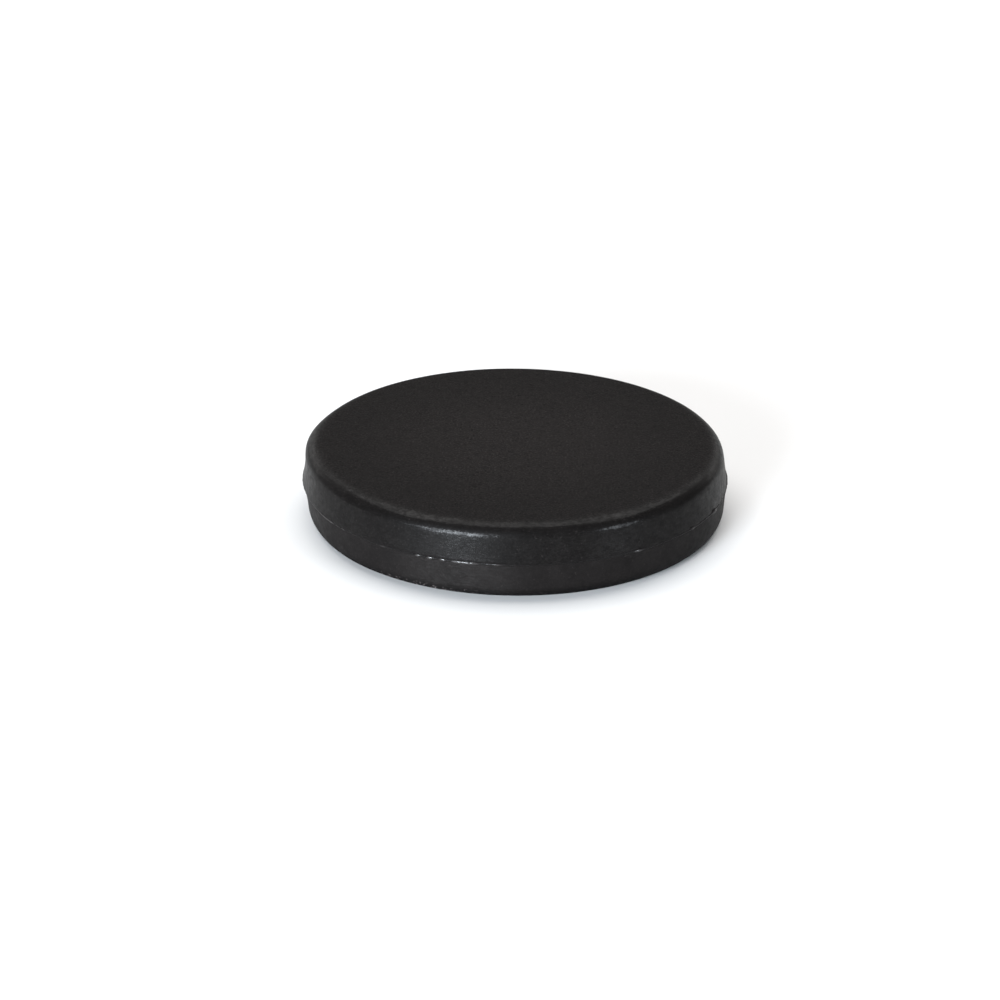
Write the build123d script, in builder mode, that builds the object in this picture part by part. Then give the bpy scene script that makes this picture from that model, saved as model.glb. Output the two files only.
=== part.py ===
"""A thin hockey puck: one compression moulding of solid vulcanised rubber, with the flash of its mould.

The mould has two halves that meet at mid-height. Each half has its own draft, so the side wall leans in from
the parting plane to the round edge of each flat face, and more so above than below. Rubber that squeezed out
between the halves is trimmed to a low ring, the flash, which is the widest part of the puck.

Millimetres, +Z up. The origin is the centre of the lower face, where the puck meets the ice.
"""

from build123d import *

import os
from math import radians, tan

# Overall sizes
PUCK_DIAMETER = 76.2  # across the crest of the flash, the widest place
PUCK_THICKNESS = 13.7  # from the lower face to the upper face

# Side wall and edges
UPPER_DRAFT_ANGLE = 8.0  # degrees that the upper wall leans in, away from the parting plane
LOWER_DRAFT_ANGLE = 4.0  # the same for the lower wall
EDGE_RADIUS = 2.5  # the round between a wall and its flat face

# Flash, the trimmed ring at the parting plane
FLASH_HEIGHT = 0.3  # how far it stands out of the wall
FLASH_ROOT_WIDTH = 0.8  # where it joins the body
FLASH_CREST_WIDTH = 0.3  # where it was trimmed

# Places that follow from them
PARTING_HEIGHT = PUCK_THICKNESS / 2
LAND_RADIUS = PUCK_DIAMETER / 2 - FLASH_HEIGHT  # the narrow upright band that carries the flash
WALL_HEIGHT = PARTING_HEIGHT - FLASH_ROOT_WIDTH / 2  # one drafted wall, before its edge is rounded
UPPER_SHARP_RADIUS = LAND_RADIUS - WALL_HEIGHT * tan(radians(UPPER_DRAFT_ANGLE))
LOWER_SHARP_RADIUS = LAND_RADIUS - WALL_HEIGHT * tan(radians(LOWER_DRAFT_ANGLE))
# Rounding an edge takes its face in by the tangent length of the arc.
UPPER_FLAT_RADIUS = UPPER_SHARP_RADIUS - EDGE_RADIUS * tan(radians(90 - UPPER_DRAFT_ANGLE) / 2)
LOWER_FLAT_RADIUS = LOWER_SHARP_RADIUS - EDGE_RADIUS * tan(radians(90 - LOWER_DRAFT_ANGLE) / 2)


def write_node(builder, name):
    """Labels a finished piece and writes it to the parts folder."""
    builder.part.label = name
    export_step(builder.part, f"parts/{name}.step")


# The moulded body: turned from its half profile, with the rims of both faces rounded.
with BuildPart() as puck_body:
    with BuildSketch(Plane.XZ):
        with BuildLine():
            Polyline(
                (0, 0),
                (LOWER_SHARP_RADIUS, 0),
                (LAND_RADIUS, PARTING_HEIGHT - FLASH_ROOT_WIDTH / 2),
                (LAND_RADIUS, PARTING_HEIGHT + FLASH_ROOT_WIDTH / 2),
                (UPPER_SHARP_RADIUS, PUCK_THICKNESS),
                (0, PUCK_THICKNESS),
                close=True,
            )
        make_face()
    revolve(axis=Axis.Z)
    flat_faces = puck_body.faces().filter_by(Plane.XY)
    fillet(flat_faces.edges(), EDGE_RADIUS)

# The flash: a thin ring seated on the body's land, with sloped sides and a trimmed crest.
with BuildPart() as parting_flash:
    with BuildSketch(Plane.XZ):
        with BuildLine():
            Polyline(
                (LAND_RADIUS, PARTING_HEIGHT - FLASH_ROOT_WIDTH / 2),
                (PUCK_DIAMETER / 2, PARTING_HEIGHT - FLASH_CREST_WIDTH / 2),
                (PUCK_DIAMETER / 2, PARTING_HEIGHT + FLASH_CREST_WIDTH / 2),
                (LAND_RADIUS, PARTING_HEIGHT + FLASH_ROOT_WIDTH / 2),
                close=True,
            )
        make_face()
    revolve(axis=Axis.Z)

os.makedirs("parts", exist_ok=True)
write_node(puck_body, "puck_body")
write_node(parting_flash, "parting_flash")

print(f"flat radius: upper {UPPER_FLAT_RADIUS:.3f}, lower {LOWER_FLAT_RADIUS:.3f}")
print(f"body {puck_body.part.volume / 1000:.2f} cm3, flash {parting_flash.part.volume:.1f} mm3")
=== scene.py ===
"""A thin hockey puck of black moulded rubber, on a pale floor under soft light.

The puck is one compression moulding. Its two halves lean in from the parting line to a round edge, the
flat faces have a fine grain, and a torn ring of flash fills the seam between the halves.
Everything is in metres, with +Z up and the origin at the centre of the lower face. Angles round the
puck are measured from the front (-Y), positive to the right (+X).
"""

import math

import bmesh
import bpy
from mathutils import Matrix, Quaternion, Vector, noise


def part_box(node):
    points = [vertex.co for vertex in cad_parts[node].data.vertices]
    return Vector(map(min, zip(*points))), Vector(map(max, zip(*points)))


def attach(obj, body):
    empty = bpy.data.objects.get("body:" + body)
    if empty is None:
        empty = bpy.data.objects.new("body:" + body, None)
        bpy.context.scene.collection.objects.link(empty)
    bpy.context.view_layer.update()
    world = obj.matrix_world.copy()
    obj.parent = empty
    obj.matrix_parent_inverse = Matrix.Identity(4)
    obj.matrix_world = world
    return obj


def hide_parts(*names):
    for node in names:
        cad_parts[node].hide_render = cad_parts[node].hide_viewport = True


bl_info = {
    "name": "Hockey Puck",
    "version": (1, 0, 0),
    "blender": (4, 5, 0),
    "location": "View3D > Sidebar > Hockey Puck",
    "description": "Builds a moulded rubber hockey puck with its parting flash, and a plain studio for it",
    "category": "Object",
}

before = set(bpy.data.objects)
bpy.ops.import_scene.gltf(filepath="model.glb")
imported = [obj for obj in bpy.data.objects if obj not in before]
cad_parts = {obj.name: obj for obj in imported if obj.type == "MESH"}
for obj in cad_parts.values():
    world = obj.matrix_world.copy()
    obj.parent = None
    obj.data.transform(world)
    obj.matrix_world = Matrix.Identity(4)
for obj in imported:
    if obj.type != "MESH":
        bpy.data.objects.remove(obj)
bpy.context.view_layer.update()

MM = 0.001
BODY_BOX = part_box("puck_body")
FLASH_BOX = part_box("parting_flash")
THICKNESS = BODY_BOX[1].z - BODY_BOX[0].z
LAND_RADIUS = BODY_BOX[1].x
FLASH_RADIUS = FLASH_BOX[1].x
PARTING_HEIGHT = (FLASH_BOX[0].z + FLASH_BOX[1].z) / 2


class PuckBodySettings(bpy.types.PropertyGroup):
    """Sizes and finish of the moulding."""

    upper_draft: bpy.props.FloatProperty(
        name="Upper Draft",
        description="How far the upper half of the side wall leans in from the parting line",
        default=math.radians(8.0),
        subtype="ANGLE",
    )
    lower_draft: bpy.props.FloatProperty(
        name="Lower Draft",
        description="How far the lower half of the side wall leans in from the parting line",
        default=math.radians(4.0),
        subtype="ANGLE",
    )
    edge_radius: bpy.props.FloatProperty(
        name="Edge Radius",
        description="Radius of the round between a face and the side wall",
        default=2.5 * MM,
        subtype="DISTANCE",
        unit="LENGTH",
    )
    face_droop: bpy.props.FloatProperty(
        name="Face Droop",
        description="How far a face falls away just before its round edge",
        default=0.09 * MM,
        subtype="DISTANCE",
        unit="LENGTH",
    )
    mould_shift: bpy.props.FloatProperty(
        name="Mould Shift",
        description="How far the upper half of the mould sat to the left of the lower half",
        default=0.1 * MM,
        subtype="DISTANCE",
        unit="LENGTH",
    )
    lower_half_shrink: bpy.props.FloatProperty(
        name="Lower Half Shrink",
        description="How much smaller the lower half's radius is at the parting line",
        default=0.16 * MM,
        subtype="DISTANCE",
        unit="LENGTH",
    )
    waviness: bpy.props.FloatProperty(
        name="Waviness",
        description="Height of the gentle unevenness that the rubber cooled with",
        default=0.02 * MM,
        subtype="DISTANCE",
        unit="LENGTH",
    )
    colour: bpy.props.FloatVectorProperty(
        name="Rubber Colour",
        description="Base colour of the black rubber",
        default=(0.0042, 0.0036, 0.0035, 1.0),
        size=4,
        min=0.0,
        max=1.0,
        subtype="COLOR",
    )
    face_roughness: bpy.props.FloatProperty(
        name="Face Roughness",
        description="How matt the grained faces are",
        default=0.66,
        subtype="FACTOR",
        min=0.0,
        max=1.0,
    )
    wall_roughness: bpy.props.FloatProperty(
        name="Wall Roughness",
        description="How matt the smooth side wall is",
        default=0.46,
        subtype="FACTOR",
        min=0.0,
        max=1.0,
    )


class PartingFlashSettings(bpy.types.PropertyGroup):
    """Sizes and finish of the flash."""

    stand: bpy.props.FloatProperty(
        name="Stand",
        description="How far the trimmed flash usually stands out of the seam",
        default=0.02 * MM,
        subtype="DISTANCE",
        unit="LENGTH",
    )
    unevenness: bpy.props.FloatProperty(
        name="Unevenness",
        description="How much the torn crest of the flash goes in and out",
        default=0.12 * MM,
        subtype="DISTANCE",
        unit="LENGTH",
    )
    colour: bpy.props.FloatVectorProperty(
        name="Flash Colour",
        description="Base colour of the torn rubber",
        default=(0.0055, 0.0049, 0.0048, 1.0),
        size=4,
        min=0.0,
        max=1.0,
        subtype="COLOR",
    )


class StudioSettings(bpy.types.PropertyGroup):
    """Floor, lights and camera."""

    floor_colour: bpy.props.FloatVectorProperty(
        name="Floor Colour",
        description="Colour of the plain floor",
        default=(0.64, 0.64, 0.64, 1.0),
        size=4,
        min=0.0,
        max=1.0,
        subtype="COLOR",
    )
    surround: bpy.props.FloatProperty(
        name="Surround",
        description="Brightness of the plain surround",
        default=0.18,
        min=0.0,
    )
    camera_elevation: bpy.props.FloatProperty(
        name="Camera Elevation",
        description="Height of the camera's line of sight above the floor",
        default=math.radians(23.5),
        subtype="ANGLE",
    )
    camera_roll: bpy.props.FloatProperty(
        name="Camera Roll",
        description="Turn of the camera about its line of sight",
        default=math.radians(0.5),
        subtype="ANGLE",
    )
    camera_distance: bpy.props.FloatProperty(
        name="Camera Distance",
        description="Distance from the camera to the middle of the puck",
        default=0.5334,
        subtype="DISTANCE",
        unit="LENGTH",
    )


# Shape of the moulding

BODY_STEPS = 640  # vertices round the puck
FACE_RINGS = 16  # rings across the flat part of a face
WALL_RINGS = 7  # rings down one half of the wall
EDGE_SEGMENTS = 12
SEAM_DEPTH = 0.32 * MM  # of the groove that the flash fills
SEAM_HALF_WIDTH = 0.1 * MM
LIP_ROUND = 0.035 * MM
EDGE_MARGIN = 1.04  # how far the wall's first ring stays from the face, in edge radii
RIM_WIDTH = 4.4 * MM  # the outer part of a face, up to where its round edge would be sharp
DROOP_LEAD = 1.6 * MM  # how far inside the rim a face begins to fall away
BROAD_WAVES = 110  # waves of the surface per metre
FINE_WAVES = 260
WAVE_STRETCH = 1.4  # how much closer together the broad waves are up the wall
WAVE_TOP = 0.9  # above any wave, so that the waves only sink the surface
DENTS_FROM = 0.3  # share of the rim that is left without dents

# Dents, as (angle in degrees, height in mm, half-length in mm, half-height in mm, depth in mm). The first
# two are broad places: one where the wall is fuller, with a depth below zero, and one where it is leaner.
DENTS = (
    (-95.0, 12.6, 15.0, 2.6, -0.34),
    (-76.0, 2.6, 20.0, 4.0, 0.3),
    (-42.5, 7.3, 1.9, 0.5, 0.13),
    (-25.6, 6.2, 0.7, 0.35, 0.10),
    (-13.0, 9.6, 0.35, 0.9, 0.05),
    (-31.0, 1.2, 0.6, 0.4, 0.12),
    (-21.5, 0.9, 0.9, 0.4, 0.12),
    (-16.0, 0.8, 0.5, 0.4, 0.10),
    (-2.0, 3.9, 0.4, 0.3, 0.05),
    (9.5, 4.6, 0.5, 0.3, 0.05),
    (23.0, 2.6, 0.4, 0.35, 0.05),
    (41.0, 1.3, 0.6, 0.4, 0.10),
    (57.0, 8.9, 0.5, 0.4, 0.05),
    (76.5, 6.5, 1.2, 0.35, 0.16),
)


def polar(angle, radius, height):
    """A point at an angle in radians from the front, positive to the right."""
    return Vector((radius * math.sin(angle), -radius * math.cos(angle), height))


def angle_of(point):
    """The angle of a point round the puck, in degrees from the front."""
    return math.degrees(math.atan2(point.x, -point.y))


def angle_between(a, b):
    """The smaller angle from b to a, in degrees, with its sign."""
    return (a - b + 180) % 360 - 180


def soft_bump(distance):
    """1 at the middle, falling smoothly to 0 at a distance of 1."""
    t = min(abs(distance), 1.0)
    return (1 - t * t) ** 2


def chain(bm, points, cuts):
    """Joins points in the XZ plane by edges, and cuts each edge into equal lengths."""
    corners = [bm.verts.new((x, 0, z)) for x, z in points]
    edges = [bm.edges.new(pair) for pair in zip(corners, corners[1:])]
    for edge, count in zip(edges, cuts):
        if count:
            bmesh.ops.subdivide_edges(bm, edges=[edge], cuts=count)


def turn(bm, steps):
    """Spins the whole mesh a full turn about the puck's axis, merges its poles and faces it outwards."""
    bmesh.ops.spin(
        bm,
        geom=bm.verts[:] + bm.edges[:],
        cent=(0, 0, 0),
        axis=(0, 0, 1),
        dvec=(0, 0, 0),
        angle=math.tau,
        steps=steps,
        use_merge=True,
    )
    bmesh.ops.remove_doubles(bm, verts=bm.verts, dist=1e-7)
    bmesh.ops.recalc_face_normals(bm, faces=bm.faces)


def ring_edges(bm, radius, height):
    """The edges that lie round the puck at one radius and height."""

    def on_ring(vert):
        return abs(vert.co.xy.length - radius) < 1e-6 and abs(vert.co.z - height) < 1e-6

    return [e for e in bm.edges if all(on_ring(v) for v in e.verts)]


def finish_piece(bm, name, material, node):
    """Makes the mesh an object that stands for a CAD node and moves with the puck."""
    mesh = bpy.data.meshes.new(name)
    bm.to_mesh(mesh)
    bm.free()
    mesh.shade_smooth()
    mesh.materials.append(material)
    piece = bpy.data.objects.new(name, mesh)
    bpy.context.scene.collection.objects.link(piece)
    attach(piece, "root")
    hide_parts(node)


def build_body(settings):
    """Shapes the moulding: a drafted, rounded disc with a groove at the seam, then its small unevenness."""
    half = THICKNESS / 2
    lands = {1: LAND_RADIUS, -1: LAND_RADIUS - settings.lower_half_shrink}
    drafts = {1: settings.upper_draft, -1: settings.lower_draft}
    wall_start = settings.edge_radius * EDGE_MARGIN

    def wall(side, from_seam):
        return lands[side] - (from_seam - SEAM_HALF_WIDTH) * math.tan(drafts[side])

    sharp = {side: wall(side, half) for side in (1, -1)}
    flat_end = sharp[1] - RIM_WIDTH
    top, mid = THICKNESS, PARTING_HEIGHT
    points = (
        (0, top),
        (flat_end, top),
        (sharp[1], top),
        (wall(1, half - wall_start), top - wall_start),
        (lands[1], mid + SEAM_HALF_WIDTH),
        (LAND_RADIUS - SEAM_DEPTH, mid),
        (lands[-1], mid - SEAM_HALF_WIDTH),
        (wall(-1, half - wall_start), wall_start),
        (sharp[-1], 0),
        (flat_end, 0),
        (0, 0),
    )
    cuts = (FACE_RINGS, 0, 0, WALL_RINGS, 0, 0, WALL_RINGS, 0, 0, FACE_RINGS)
    bm = bmesh.new()
    chain(bm, points, cuts)
    turn(bm, BODY_STEPS)
    bevel = {
        "offset_type": "OFFSET",
        "profile": 0.5,
        "affect": "EDGES",
        "material": -1,
    }
    for side, height in ((1, top), (-1, 0)):
        rim = ring_edges(bm, sharp[side], height)
        reach = settings.edge_radius * math.tan((math.pi / 2 - drafts[side]) / 2)
        bmesh.ops.bevel(bm, geom=rim, offset=reach, segments=EDGE_SEGMENTS, **bevel)
        lip = ring_edges(bm, lands[side], mid + side * SEAM_HALF_WIDTH)
        bmesh.ops.bevel(bm, geom=lip, offset=LIP_ROUND, segments=2, **bevel)
    settle(bm, settings, flat_end)
    bm.normal_update()
    return bm


def dent_depth(angle, radius, height):
    """How deep the small dents are at a point of the wall."""
    depth = 0.0
    for middle, dent_height, length, rise, deepest in DENTS:
        round_way = math.radians(angle_between(angle, middle)) * radius / MM / length
        if abs(round_way) < 1:
            up_way = (height / MM - dent_height) / rise
            depth += deepest * MM * soft_bump(round_way) * soft_bump(up_way)
    return depth


def settle(bm, settings, flat_end):
    """Gives the moulding its droop, mould shift, gentle waves and dents, inside its CAD size."""
    edge_height = THICKNESS / 2 - settings.edge_radius
    for vert in bm.verts:
        co = vert.co
        radius = co.xy.length
        if radius < 1e-6:
            continue
        above = co.z - PARTING_HEIGHT
        side = 1 if above > 0 else -1
        # A face falls away a little before its round edge.
        reach = max(0.0, min(1.0, (radius - flat_end + DROOP_LEAD) / RIM_WIDTH))
        if abs(above) > edge_height:
            co.z -= side * settings.face_droop * reach * reach
        outward = co.xy.normalized()
        wave = noise.noise(Vector((co.x, co.y, co.z * WAVE_STRETCH)) * BROAD_WAVES)
        wave += 0.5 * noise.noise(co * FINE_WAVES + Vector((7, 3, 5)))
        sink = settings.waviness * (wave - WAVE_TOP)
        wall_share = max(0.0, min(1.0, (radius - flat_end) / RIM_WIDTH))
        push = sink * wall_share
        if wall_share > DENTS_FROM:
            push -= dent_depth(angle_of(co), radius, co.z)
        co.x += outward.x * push
        co.y += outward.y * push
        if side > 0 and wall_share < 1:
            # The upper face isn't quite flat either, and the sinks are largest at the middle.
            co.z = min(co.z + sink * (1 - wall_share), THICKNESS)
        # The two halves of the mould didn't quite line up.
        co.x -= settings.mould_shift * max(-1.0, min(1.0, above / SEAM_HALF_WIDTH)) / 2


# Shape of the flash

FLASH_STEPS = 960
FLASH_ROOT = 0.5 * MM  # how far the ring reaches in under the wall
FLASH_HELD = 0.05 * MM  # the innermost part of it, which stays as it is
FLASH_SWELL = 2.6  # how much thicker the bead is for each mm that it stands out
FLASH_LIFT = 0.05 * MM  # how far the crest wanders up and down
FLASH_MARGIN = 0.01 * MM  # how far the crest stays inside its CAD size
# Tears of the crest, as (how many in each radian, share of the unevenness, offset of the pattern)
FLASH_TEARS = (
    (6, 0.5, (11, 0, 0)),
    (34, 0.4, (0, 5, 0)),
    (110, 0.3, (0, 0, 9)),
)
# The bead outside the seam, from its upper lip to its lower one, as (in from the crest, up) in mm
FLASH_BEAD = (
    (0.08, 0.19),
    (0.035, 0.13),
    (0.0, 0.0),
    (0.04, -0.1),
    (0.22, -0.24),
)
# Places where the flash differs, as (angle and half-width in degrees, extra stand in mm)
FLASH_PLACES = (
    (-90.0, 16.0, 0.16),
    (-59.0, 9.0, 0.07),
    (-51.0, 0.8, 0.10),
    (-43.5, 3.8, -0.24),
    (-36.0, 2.6, 0.08),
    (-30.5, 2.5, -0.10),
    (-25.6, 1.3, 0.2),
    (-22.2, 1.6, 0.2),
    (-18.6, 1.5, 0.2),
    (-12.7, 5.0, 0.26),
    (-4.5, 2.5, 0.08),
    (8.0, 6.0, -0.05),
    (20.0, 5.0, -0.05),
    (34.0, 2.0, 0.12),
    (45.0, 6.0, -0.04),
    (54.0, 1.4, 0.13),
    (66.8, 2.0, 0.24),
    (76.3, 2.0, -0.24),
    (77.8, 0.8, 0.08),
    (92.0, 13.0, 0.16),
    (118.0, 5.0, -0.18),
    (131.0, 3.0, 0.16),
    (149.0, 7.0, 0.10),
    (171.0, 3.5, -0.20),
    (-160.0, 6.0, 0.14),
    (-143.0, 2.5, -0.16),
    (-121.0, 4.5, 0.12),
)


def flash_stand(angle, settings):
    """How far the crest stands out of the wall at an angle in degrees, in metres."""
    around = polar(math.radians(angle), 1.0, 0.0)
    tears = sum(share * noise.noise(around * scale + Vector(offset)) for scale, share, offset in FLASH_TEARS)
    stand = settings.stand + settings.unevenness * tears
    for centre, width, extra in FLASH_PLACES:
        stand += extra * MM * soft_bump(angle_between(angle, centre) / width)
    return stand


def build_flash(settings):
    """Turns a thin ring and tears its crest, so that it fills the seam in some places and not in others."""
    root = LAND_RADIUS - FLASH_ROOT
    bead = [(LAND_RADIUS - inward * MM, PARTING_HEIGHT + rise * MM) for inward, rise in FLASH_BEAD]
    top, bottom = bead[0][1], bead[-1][1]
    points = [(root, top), *bead, (root, bottom), (root, top)]
    bm = bmesh.new()
    chain(bm, points, (0, 1, 1, 1, 2, 0, 0))
    bmesh.ops.remove_doubles(bm, verts=bm.verts, dist=1e-8)
    turn(bm, FLASH_STEPS)
    for vert in bm.verts:
        co = vert.co
        radius = co.xy.length
        if radius < root + FLASH_HELD:
            continue
        angle = angle_of(co)
        share = (radius - root) / FLASH_ROOT
        stand = flash_stand(angle, settings)
        grown = min(root + (radius - root) * (1 + stand / FLASH_ROOT), FLASH_RADIUS - FLASH_MARGIN)
        outward = co.xy.normalized()
        co.x = outward.x * grown
        co.y = outward.y * grown
        lift = noise.noise(polar(math.radians(angle), 1.0, 0.3) * 14)
        swell = 1 + FLASH_SWELL * max(0.0, stand / MM) * share
        co.z = PARTING_HEIGHT + (co.z - PARTING_HEIGHT) * swell + FLASH_LIFT * lift * share
    bm.normal_update()
    return bm


# Finishes


def add(tree, kind, **inputs):
    """Adds a node. A name that begins with in_ is a socket to set or link, and any other is a property."""
    node = tree.nodes.new(kind)
    for name, value in inputs.items():
        if not name.startswith("in_"):
            setattr(node, name, value)
    for name, value in inputs.items():
        if not name.startswith("in_"):
            continue
        key = name[3:]
        socket = node.inputs[int(key)] if key.isdigit() else node.inputs[key]
        if isinstance(value, bpy.types.NodeSocket):
            tree.links.new(value, socket)
        else:
            socket.default_value = value
    return node


def math_node(tree, operation, *values):
    """The result of a Math node."""
    inputs = {f"in_{i}": value for i, value in enumerate(values)}
    return add(tree, "ShaderNodeMath", operation=operation, **inputs).outputs[0]


def times(tree, first, second):
    """One value times another."""
    return math_node(tree, "MULTIPLY", first, second)


def plus(tree, first, second, share=1.0):
    """One value plus a share of another."""
    return math_node(tree, "MULTIPLY_ADD", second, share, first)


def noise_at(tree, vector, scale, detail=2.0, roughness=0.5):
    """A Noise Texture's value."""
    inputs = {"in_Vector": vector, "in_Scale": scale, "in_Detail": detail, "in_Roughness": roughness}
    return add(tree, "ShaderNodeTexNoise", **inputs).outputs["Fac"]


def fade(tree, value, low, high, to_low=0.0, to_high=1.0):
    """Maps a value from one range to another with soft ends."""
    return add(
        tree,
        "ShaderNodeMapRange",
        interpolation_type="SMOOTHSTEP",
        in_0=value,
        in_1=low,
        in_2=high,
        in_3=to_low,
        in_4=to_high,
    ).outputs[0]


def stretched(tree, vector, scale):
    """The same coordinates, scaled by a Mapping node."""
    return add(tree, "ShaderNodeMapping", in_Vector=vector, in_Scale=scale).outputs[0]


def new_material(name):
    """A material with its shader, its node tree, and its coordinates in millimetres."""
    material = bpy.data.materials.new(name)
    material.use_nodes = True
    tree = material.node_tree
    shader = tree.nodes["Principled BSDF"]
    coordinates = tree.nodes.new("ShaderNodeTexCoord")
    in_mm = stretched(tree, coordinates.outputs["Object"], (1 / MM, 1 / MM, 1 / MM))
    return material, tree, shader, in_mm


def axis_distance(tree, in_mm):
    """How far a point is from the puck's axis, in millimetres."""
    flat = stretched(tree, in_mm, (1.0, 1.0, 0.0))
    return add(tree, "ShaderNodeVectorMath", operation="LENGTH", in_0=flat).outputs["Value"]


def distance_from(tree, in_mm, angle, height):
    """How far a point is from a place on the wall, at an angle in degrees and a height, in millimetres."""
    place = polar(math.radians(angle), LAND_RADIUS, height) / MM
    return add(tree, "ShaderNodeVectorMath", operation="DISTANCE", in_0=in_mm, in_1=place).outputs["Value"]


def tint(tree, colour, factor):
    """A colour made lighter or darker by a factor."""
    return add(
        tree,
        "ShaderNodeVectorMath",
        operation="SCALE",
        in_0=colour[:3],
        in_3=factor,
    ).outputs[0]


def blend(tree, share, first, second):
    """A number that goes from the first to the second as share goes from 0 to 1."""
    return add(tree, "ShaderNodeMix", data_type="FLOAT", in_0=share, in_2=first, in_3=second).outputs[0]


# Where the lower wall is glossier and painted paler as a reflection of the left window, and where crumbs
# have gathered just above the floor, as (angle, height)
REFLECTION_PATCH_PLACE = (-15.0, 0.35 * PARTING_HEIGHT)
CRUMB_PLACE = (-24.0, 0.0)


def face_finish(tree, settings, in_mm, bright_grain):
    """Tone, roughness and relief of the faces: a fine matt grain with pits, and paler towards the middle."""
    pits = fade(tree, noise_at(tree, in_mm, 2.3, detail=2, roughness=0.6), 0.52, 0.68)
    patches = noise_at(tree, in_mm, 0.085, detail=4, roughness=0.6)
    mottle = noise_at(tree, in_mm, 0.75, detail=4, roughness=0.7)
    from_middle = plus(tree, axis_distance(tree, in_mm), patches, 14)
    grained = plus(tree, fade(tree, pits, 0, 1, 0.85, 0.1), bright_grain, 1.7)
    tone = times(tree, fade(tree, from_middle, 14, 40, 1.95, 1.3), grained)
    rough = plus(tree, fade(tree, mottle, 0.3, 0.7, 0.03, -0.03), settings.face_roughness)
    relief = plus(tree, bright_grain, pits, -0.8)
    return tone, rough, relief


def wall_finish(tree, settings, in_mm, height, bright_grain):
    """Tone, roughness, relief and polish of the walls, whose draw marks run up and rub marks run round. The
    lower half is painted paler as light thrown up from the floor, the foot is painted dark as contact shade,
    and one patch is painted paler as a reflection of the left window.
    """
    streaks = noise_at(tree, stretched(tree, in_mm, (2.2, 2.2, 0.45)), 1.0, detail=3, roughness=0.6)
    rubs = noise_at(tree, stretched(tree, in_mm, (0.35, 0.35, 5.0)), 1.0, detail=3)
    scuffs = noise_at(tree, stretched(tree, in_mm, (0.9, 0.9, 1.7)), 1.0, detail=4, roughness=0.7)
    nicks = noise_at(tree, stretched(tree, in_mm, (1.1, 1.1, 4.5)), 1.0, detail=3)
    peel = noise_at(tree, in_mm, 0.9, detail=3)
    blotches = noise_at(tree, in_mm, 0.22, detail=6, roughness=0.7)
    seam = PARTING_HEIGHT / MM
    lower = fade(tree, height, seam - 0.35, seam + 0.25, 1, 0)
    # Painted contact shade: the wall is painted darker, and loses its coat, towards the floor.
    painted_foot_shade = fade(tree, height, 0.4, 2.6, 0.05, 1)
    # A patch of the lower wall that is glossier and carries a painted reflection of the left window.
    from_reflection_patch = plus(tree, distance_from(tree, in_mm, *REFLECTION_PATCH_PLACE), blotches, 9)
    reflection_patch = times(tree, fade(tree, from_reflection_patch, 9, 19, 1, 0), lower)

    # Painted light: the lower half is painted paler, standing in for light thrown up from the floor, and the
    # foot is painted dark as contact shade.
    tone = times(tree, blend(tree, lower, 0.78, 1.5), painted_foot_shade)
    tone = times(tree, fade(tree, blotches, 0.3, 0.7, 0.7, 1.05), tone)
    # Painted reflection: the patch is painted paler.
    tone = plus(tree, tone, reflection_patch, 0.2)
    tone = plus(tree, tone, bright_grain, 0.5)

    rough = plus(tree, fade(tree, peel, 0.3, 0.7, -0.04, 0.05), settings.wall_roughness)
    rough = plus(tree, rough, fade(tree, rubs, 0.56, 0.7, 0, 0.08))
    rough = plus(tree, rough, lower, 0.14)

    relief = plus(tree, times(tree, peel, 0.35), streaks, 0.1)
    relief = plus(tree, relief, rubs, 0.16)
    relief = plus(tree, relief, bright_grain, 0.09)

    polish = times(tree, fade(tree, blotches, 0.3, 0.7, 0.09, 0.15), blend(tree, lower, 1.0, 0.4))
    polish = times(tree, fade(tree, streaks, 0.3, 0.7, 0.85, 1.15), polish)
    # The coat is raised on the painted reflection patch and taken off by the painted contact shade near the
    # floor.
    polish = times(tree, plus(tree, polish, reflection_patch, 0.26), painted_foot_shade)
    polish = times(tree, polish, fade(tree, scuffs, 0.3, 0.7, 0.5, 1.5))
    polish = times(tree, polish, fade(tree, nicks, 0.5, 0.6, 1, 0.45))
    return tone, rough, relief, polish


def crumb_tone(tree, in_mm, height):
    """How pale the crumbs are that cling just above the floor, most of them near one place."""
    crumbs = fade(tree, noise_at(tree, in_mm, 2.2, detail=1), 0.61, 0.68, 0, 24)
    crumbs = times(tree, crumbs, fade(tree, height, 0.8, 1.9, 1, 0))
    near = fade(tree, distance_from(tree, in_mm, *CRUMB_PLACE), 5, 12, 1.6, 0.1)
    return times(tree, crumbs, near)


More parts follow.
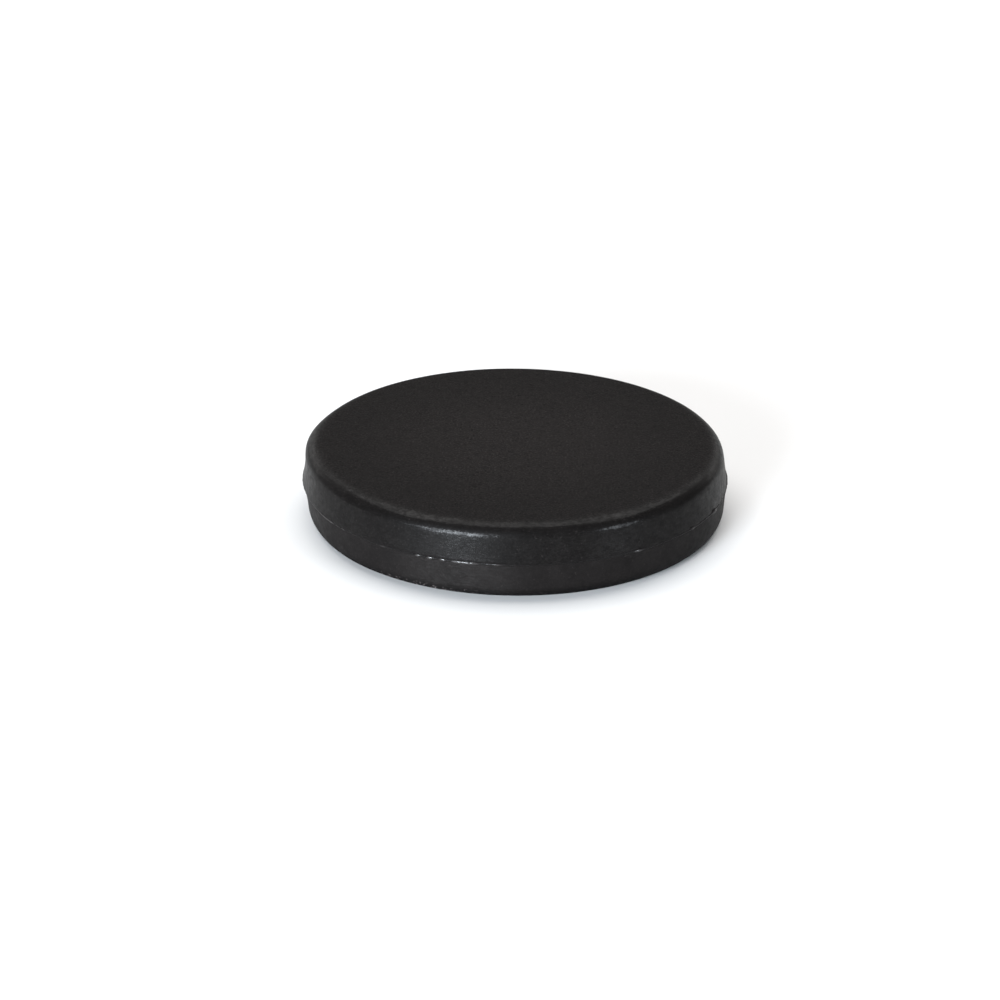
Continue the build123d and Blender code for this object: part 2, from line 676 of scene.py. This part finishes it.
def moulded_rubber(settings):
    """Black rubber: matt and grained on the faces, satin on the walls, with a little dust."""
    material, tree, shader, in_mm = new_material("moulded_rubber")
    height = add(tree, "ShaderNodeSeparateXYZ", in_Vector=in_mm).outputs["Z"]
    bright_grain = fade(tree, noise_at(tree, in_mm, 3.0, detail=2, roughness=0.6), 0.5, 0.68)
    face_tone, face_rough, face_relief = face_finish(tree, settings, in_mm, bright_grain)
    wall_tone, wall_rough, wall_relief, polish = wall_finish(tree, settings, in_mm, height, bright_grain)

    # The grain ends raggedly on the round of the edge, and the polish of the wall begins there.
    ragged = plus(tree, axis_distance(tree, in_mm), noise_at(tree, in_mm, 0.8, detail=3), 1.2)
    land = LAND_RADIUS / MM
    face = fade(tree, ragged, land - 3.2, land - 1.0, 1, 0)
    wall = math_node(tree, "SUBTRACT", 1, face)

    dust = fade(tree, noise_at(tree, in_mm, 2.1, detail=1), 0.69, 0.77, 0, 1.6)
    tone = plus(tree, blend(tree, face, wall_tone, face_tone), dust)
    tone = plus(tree, tone, times(tree, crumb_tone(tree, in_mm, height), wall))
    tree.links.new(tint(tree, settings.colour, tone), shader.inputs["Base Color"])
    tree.links.new(blend(tree, face, wall_rough, face_rough), shader.inputs["Roughness"])
    tree.links.new(blend(tree, face, polish, 0.0), shader.inputs["Coat Weight"])
    shader.inputs["Coat Roughness"].default_value = 0.1
    shader.inputs["Specular IOR Level"].default_value = 0.045
    relief = blend(tree, face, wall_relief, face_relief)
    bump = add(tree, "ShaderNodeBump", in_Strength=1.0, in_Distance=0.06 * MM, in_Height=relief)
    tree.links.new(bump.outputs[0], shader.inputs["Normal"])
    tree.links.new(bump.outputs[0], shader.inputs["Coat Normal"])
    return material


def flash_rubber(settings):
    """Torn rubber: as dark as the moulding, and paler and glossier where its crest stands proud."""
    material, tree, shader, in_mm = new_material("flash_rubber")
    fibres = noise_at(tree, stretched(tree, in_mm, (1.0, 1.0, 4.0)), 3.0, detail=4, roughness=0.65)
    breaks = fade(tree, noise_at(tree, in_mm, 0.55, detail=3, roughness=0.6), 0.42, 0.56, 0.15, 0.5)
    land = LAND_RADIUS / MM
    proud = fade(tree, axis_distance(tree, in_mm), land + 0.01, land + 0.16)
    tone = plus(tree, fade(tree, fibres, 0.3, 0.7, 0.6, 1.35), proud, 2.4)
    tree.links.new(tint(tree, settings.colour, tone), shader.inputs["Base Color"])
    tree.links.new(fade(tree, fibres, 0.3, 0.7, 0.3, 0.5), shader.inputs["Roughness"])
    tree.links.new(times(tree, proud, breaks), shader.inputs["Coat Weight"])
    shader.inputs["Coat Roughness"].default_value = 0.12
    shader.inputs["Specular IOR Level"].default_value = 0.065
    bump = add(tree, "ShaderNodeBump", in_Strength=1.0, in_Distance=0.02 * MM, in_Height=fibres)
    tree.links.new(bump.outputs[0], shader.inputs["Normal"])
    return material


# Studio

FLOOR_RADIUS = 1.0  # no wider than the lights reach
CAMERA_LENS = 107.4  # mm, on a sensor 36 mm wide
CAMERA_SENSOR = 36.0
CAMERA_SHIFT = (-0.0152, -0.0245)  # how far the frame moves right and up, as shares of its width
WARM = (1.0, 0.985, 0.97)
DAYLIGHT = (0.86, 0.93, 1.0)
# Area lights, as (name, shape, place, aim, width, height, brightness, colour)
LIGHTS = (
    ("overhead", "RECTANGLE", (0.0, 0.42, 1.2), (0.0, 0.42, 0.0), 2.0, 1.2, 3.9, WARM),
    ("back", "RECTANGLE", (0.0, 1.55, 0.95), (0.0, 0.0, 0.0), 2.6, 0.9, 0.7, WARM),
    ("left back", "RECTANGLE", (-0.95, 1.45, 0.42), (0.0, 0.0, 0.0), 1.1, 0.55, 1.4, WARM),
    ("right back", "RECTANGLE", (0.95, 1.45, 0.42), (0.0, 0.0, 0.0), 1.1, 0.55, 1.2, WARM),
    ("left window", "ELLIPSE", (-0.57, -1.115, 0.24), (0.0, 0.0, 0.05), 0.52, 0.56, 54.0, DAYLIGHT),
    ("left wing", "ELLIPSE", (-0.78, -1.0, 0.24), (0.0, 0.0, 0.05), 0.85, 0.42, 15.0, DAYLIGHT),
    ("right window", "ELLIPSE", (1.0, -0.69, 0.21), (0.0, 0.0, 0.05), 0.46, 0.4, 15.0, DAYLIGHT),
)


def build_floor(settings):
    """A plain round floor under the puck."""
    bm = bmesh.new()
    bmesh.ops.create_circle(bm, cap_ends=True, segments=96, radius=FLOOR_RADIUS)
    mesh = bpy.data.meshes.new("floor")
    bm.to_mesh(mesh)
    bm.free()
    floor = bpy.data.objects.new("floor", mesh)
    bpy.context.scene.collection.objects.link(floor)
    material = bpy.data.materials.new("floor")
    material.use_nodes = True
    shader = material.node_tree.nodes["Principled BSDF"]
    shader.inputs["Base Color"].default_value = settings.floor_colour
    shader.inputs["Roughness"].default_value = 0.5
    shader.inputs["Specular IOR Level"].default_value = 0.05
    mesh.materials.append(material)


def build_lights(settings):
    """Four soft panels above and behind, three windows of daylight at the front, and a plain surround."""
    for name, shape, place, aim, width, height, brightness, colour in LIGHTS:
        light = bpy.data.lights.new(name, "AREA")
        light.shape = shape
        light.size = width
        light.size_y = height
        light.color = colour
        area = width * height * (math.pi / 4 if shape == "ELLIPSE" else 1)
        light.energy = brightness * math.pi * area  # so that brightness is what a mirror would show
        lamp = bpy.data.objects.new(name, light)
        lamp.location = place
        lamp.rotation_euler = (Vector(aim) - Vector(place)).to_track_quat("-Z", "Y").to_euler()
        bpy.context.scene.collection.objects.link(lamp)
    world = bpy.data.worlds.new("surround")
    world.use_nodes = True
    tree = world.node_tree
    background = tree.nodes["Background"]
    background.inputs["Color"].default_value = (1, 1, 1, 1)
    # The surround is dim where it lights the puck, and pale where it is seen past the floor's edge.
    seen = tree.nodes.new("ShaderNodeLightPath").outputs["Is Camera Ray"]
    tree.links.new(blend(tree, seen, settings.surround, 1.0), background.inputs["Strength"])
    bpy.context.scene.world = world


def build_camera(settings):
    """A long lens that looks down on the front of the puck, with a touch of roll."""
    middle = Vector((0, 0, PARTING_HEIGHT))
    elevation = settings.camera_elevation
    away = Vector((0, -math.cos(elevation), math.sin(elevation)))
    camera = bpy.data.cameras.new("camera")
    camera.lens = CAMERA_LENS
    camera.sensor_width = CAMERA_SENSOR
    camera.shift_x, camera.shift_y = CAMERA_SHIFT
    camera.clip_start = 0.01
    camera.clip_end = 100
    holder = bpy.data.objects.new("camera", camera)
    holder.location = middle + away * settings.camera_distance
    roll = Quaternion((0, 0, 1), settings.camera_roll)
    holder.rotation_euler = ((-away).to_track_quat("-Z", "Y") @ roll).to_euler()
    bpy.context.scene.collection.objects.link(holder)
    bpy.context.scene.camera = holder


class PUCK_OT_body(bpy.types.Operator):
    """Builds the rubber moulding in place of its CAD solid."""

    bl_idname = "puck.body"
    bl_label = "Build Puck Body"
    bl_options = {"REGISTER", "UNDO"}

    def execute(self, context):
        settings = context.scene.puck_body
        bm = build_body(settings)
        finish_piece(bm, "moulded_body", moulded_rubber(settings), "puck_body")
        return {"FINISHED"}


class PUCK_OT_flash(bpy.types.Operator):
    """Builds the torn flash in the seam, in place of its CAD ring."""

    bl_idname = "puck.flash"
    bl_label = "Build Parting Flash"
    bl_options = {"REGISTER", "UNDO"}

    def execute(self, context):
        settings = context.scene.puck_flash
        bm = build_flash(settings)
        finish_piece(bm, "torn_flash", flash_rubber(settings), "parting_flash")
        return {"FINISHED"}


class PUCK_OT_studio(bpy.types.Operator):
    """Sets out the floor, the lights and the camera."""

    bl_idname = "puck.studio"
    bl_label = "Set Out Studio"
    bl_options = {"REGISTER", "UNDO"}

    def execute(self, context):
        settings = context.scene.puck_studio
        build_floor(settings)
        build_lights(settings)
        build_camera(settings)
        context.scene.view_settings.view_transform = "Standard"
        return {"FINISHED"}


class PUCK_PT_sidebar(bpy.types.Panel):
    """Lists the puck's pieces and their settings."""

    bl_idname = "PUCK_PT_sidebar"
    bl_label = "Hockey Puck"
    bl_space_type = "VIEW_3D"
    bl_region_type = "UI"
    bl_category = "Hockey Puck"

    def draw(self, context):
        scene = context.scene
        for operator, settings in (
            (PUCK_OT_body, scene.puck_body),
            (PUCK_OT_flash, scene.puck_flash),
            (PUCK_OT_studio, scene.puck_studio),
        ):
            box = self.layout.box()
            for name in settings.__annotations__:
                box.prop(settings, name)
            box.operator(operator.bl_idname)


CLASSES = (
    PuckBodySettings,
    PartingFlashSettings,
    StudioSettings,
    PUCK_OT_body,
    PUCK_OT_flash,
    PUCK_OT_studio,
    PUCK_PT_sidebar,
)


def register():
    for cls in CLASSES:
        bpy.utils.register_class(cls)
    bpy.types.Scene.puck_body = bpy.props.PointerProperty(type=PuckBodySettings)
    bpy.types.Scene.puck_flash = bpy.props.PointerProperty(type=PartingFlashSettings)
    bpy.types.Scene.puck_studio = bpy.props.PointerProperty(type=StudioSettings)


def unregister():
    del bpy.types.Scene.puck_studio
    del bpy.types.Scene.puck_flash
    del bpy.types.Scene.puck_body
    for cls in reversed(CLASSES):
        bpy.utils.unregister_class(cls)


def main():
    """Builds every piece and the studio."""
    register()
    bpy.ops.puck.body()
    bpy.ops.puck.flash()
    bpy.ops.puck.studio()


if __name__ == "__main__":
    main()
